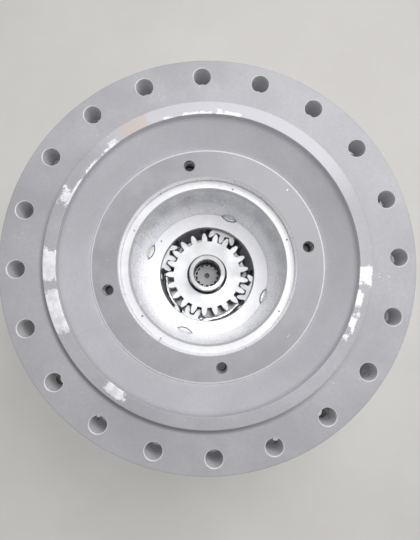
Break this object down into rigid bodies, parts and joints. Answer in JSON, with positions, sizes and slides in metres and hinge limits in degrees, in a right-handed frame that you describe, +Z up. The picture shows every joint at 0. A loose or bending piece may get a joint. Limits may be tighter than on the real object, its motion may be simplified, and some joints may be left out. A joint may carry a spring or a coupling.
{
  "type": "planetary travel gearbox",
  "caption": "Final drive gearbox of a tracked excavator without its motor: a fixed flanged spindle inside a turning sprocket hub, with planetary gear stages.",
  "frame": {"origin": "centre of the flat foot of the end cover, on the gearbox axis", "axes": "+Z up along the gearbox axis, from the end cover to the frame flange and the motor seat; +X to the right and +Y away as the gearbox stands with its bolt pattern nearly square to the viewer"},
  "size_m": [0.65, 0.65, 0.52],
  "materials": {
    "frame_paint": "light grey satin paint on cast iron, worn to bare metal on the machined faces",
    "hub_paint": "light grey satin paint on cast iron",
    "cast_iron": "grey paint over turned iron outside, cut teeth inside",
    "gear_steel": "ground case-hardened steel",
    "carrier_steel": "turned and milled steel",
    "sleeve_steel": "turned steel, oily",
    "bearing_steel": "ground bearing steel",
    "black_oxide": "black oxide, oily",
    "bronze": "machined bronze",
    "rubber": "black nitrile rubber"
  },
  "bodies": {
    "spindle": {"spindle_flange": "frame_paint", "fixed_seal_ring": "bearing_steel", "fixed_seal_rubber": "rubber", "upper_inner_race": "bearing_steel", "lower_inner_race": "bearing_steel", "final_carrier": "carrier_steel", "carrier_bolt_1": "black_oxide", "carrier_bolt_2": "black_oxide", "carrier_bolt_3": "black_oxide", "carrier_bolt_4": "black_oxide", "final_pin_1": "gear_steel", "final_pin_2": "gear_steel", "final_pin_3": "gear_steel", "final_pin_4": "gear_steel"},
    "hub": {"sprocket_hub": "hub_paint", "rotating_seal_ring": "bearing_steel", "rotating_seal_rubber": "rubber", "upper_outer_race": "bearing_steel", "lower_outer_race": "bearing_steel", "final_ring_gear": "cast_iron", "input_ring_gear": "cast_iron", "end_cover": "hub_paint", "fill_plug": "black_oxide", "drain_plug": "black_oxide", "thrust_pad": "bronze", "cover_bolt_1": "black_oxide", "cover_bolt_2": "black_oxide", "cover_bolt_3": "black_oxide", "cover_bolt_4": "black_oxide", "cover_bolt_5": "black_oxide", "cover_bolt_6": "black_oxide", "cover_bolt_7": "black_oxide", "cover_bolt_8": "black_oxide", "cover_bolt_9": "black_oxide", "cover_bolt_10": "black_oxide", "cover_bolt_11": "black_oxide", "cover_bolt_12": "black_oxide"},
    "upper_balls": {"upper_ball_set": "bronze"},
    "lower_balls": {"lower_ball_set": "bronze"},
    "second_carrier_group": {"final_sun": "gear_steel", "second_carrier": "carrier_steel", "second_pin_1": "gear_steel", "second_pin_2": "gear_steel", "second_pin_3": "gear_steel"},
    "first_carrier_group": {"second_sun": "gear_steel", "first_carrier": "carrier_steel"},
    "input_group": {"input_shaft": "sleeve_steel", "coupling_sleeve": "sleeve_steel"},
    "final_planet_1": {"final_planet_1": "gear_steel"},
    "final_planet_2": {"final_planet_2": "gear_steel"},
    "final_planet_3": {"final_planet_3": "gear_steel"},
    "final_planet_4": {"final_planet_4": "gear_steel"},
    "second_planet_1": {"second_planet_1": "gear_steel"},
    "second_planet_2": {"second_planet_2": "gear_steel"},
    "second_planet_3": {"second_planet_3": "gear_steel"},
    "first_planet_1": {"first_planet_1": "gear_steel"},
    "first_planet_2": {"first_planet_2": "gear_steel"},
    "first_planet_3": {"first_planet_3": "gear_steel"}
  },
  "joints": [
    {"name": "hub_turn", "type": "hinge", "parent": "spindle", "child": "hub", "pos_m": [0, 0, 0.39], "axis": [0, 0, 1], "continuous": true},
    {"name": "upper_balls_turn", "type": "hinge", "parent": "spindle", "child": "upper_balls", "pos_m": [0, 0, 0.409], "axis": [0, 0, 1], "continuous": true},
    {"name": "lower_balls_turn", "type": "hinge", "parent": "spindle", "child": "lower_balls", "pos_m": [0, 0, 0.3316], "axis": [0, 0, 1], "continuous": true},
    {"name": "final_planet_1_spin", "type": "hinge", "parent": "spindle", "child": "final_planet_1", "pos_m": [0.04874, 0.12375, 0.237], "axis": [0, 0, 1], "continuous": true},
    {"name": "final_planet_2_spin", "type": "hinge", "parent": "spindle", "child": "final_planet_2", "pos_m": [-0.12375, 0.04874, 0.237], "axis": [0, 0, 1], "continuous": true},
    {"name": "final_planet_3_spin", "type": "hinge", "parent": "spindle", "child": "final_planet_3", "pos_m": [-0.04874, -0.12375, 0.237], "axis": [0, 0, 1], "continuous": true},
    {"name": "final_planet_4_spin", "type": "hinge", "parent": "spindle", "child": "final_planet_4", "pos_m": [0.12375, -0.04874, 0.237], "axis": [0, 0, 1], "continuous": true},
    {"name": "second_carrier_turn", "type": "hinge", "parent": "spindle", "child": "second_carrier_group", "pos_m": [0, 0, 0.2], "axis": [0, 0, 1], "continuous": true},
    {"name": "second_planet_1_spin", "type": "hinge", "parent": "second_carrier_group", "child": "second_planet_1", "pos_m": [0.10912, 0.063, 0.118], "axis": [0, 0, 1], "continuous": true},
    {"name": "second_planet_2_spin", "type": "hinge", "parent": "second_carrier_group", "child": "second_planet_2", "pos_m": [-0.10912, 0.063, 0.118], "axis": [0, 0, 1], "continuous": true},
    {"name": "second_planet_3_spin", "type": "hinge", "parent": "second_carrier_group", "child": "second_planet_3", "pos_m": [0, -0.126, 0.118], "axis": [0, 0, 1], "continuous": true},
    {"name": "first_carrier_turn", "type": "hinge", "parent": "spindle", "child": "first_carrier_group", "pos_m": [0, 0, 0.1], "axis": [0, 0, 1], "continuous": true},
    {"name": "first_planet_1_spin", "type": "hinge", "parent": "first_carrier_group", "child": "first_planet_1", "pos_m": [0, 0.117, 0.04], "axis": [0, 0, 1], "continuous": true},
    {"name": "first_planet_2_spin", "type": "hinge", "parent": "first_carrier_group", "child": "first_planet_2", "pos_m": [-0.10132, -0.0585, 0.04], "axis": [0, 0, 1], "continuous": true},
    {"name": "first_planet_3_spin", "type": "hinge", "parent": "first_carrier_group", "child": "first_planet_3", "pos_m": [0.10132, -0.0585, 0.04], "axis": [0, 0, 1], "continuous": true},
    {"name": "input_shaft_turn", "type": "hinge", "parent": "spindle", "child": "input_group", "pos_m": [0, 0, 0.15], "axis": [0, 0, 1], "continuous": true}
  ],
  "couplings": [
    {"joint": "upper_balls_turn", "follows": "hub_turn", "ratio": 0.523},
    {"joint": "lower_balls_turn", "follows": "hub_turn", "ratio": 0.523},
    {"joint": "final_planet_1_spin", "follows": "hub_turn", "ratio": 3.2353},
    {"joint": "final_planet_2_spin", "follows": "hub_turn", "ratio": 3.2353},
    {"joint": "final_planet_3_spin", "follows": "hub_turn", "ratio": 3.2353},
    {"joint": "final_planet_4_spin", "follows": "hub_turn", "ratio": 3.2353},
    {"joint": "second_carrier_turn", "follows": "hub_turn", "ratio": -2.619},
    {"joint": "second_planet_1_spin", "follows": "hub_turn", "ratio": 10.857},
    {"joint": "second_planet_2_spin", "follows": "hub_turn", "ratio": 10.857},
    {"joint": "second_planet_3_spin", "follows": "hub_turn", "ratio": 10.857},
    {"joint": "first_carrier_turn", "follows": "hub_turn", "ratio": -13.476},
    {"joint": "first_planet_1_spin", "follows": "hub_turn", "ratio": 38},
    {"joint": "first_planet_2_spin", "follows": "hub_turn", "ratio": 38},
    {"joint": "first_planet_3_spin", "follows": "hub_turn", "ratio": 38},
    {"joint": "input_shaft_turn", "follows": "hub_turn", "ratio": -74.276}
  ]
}
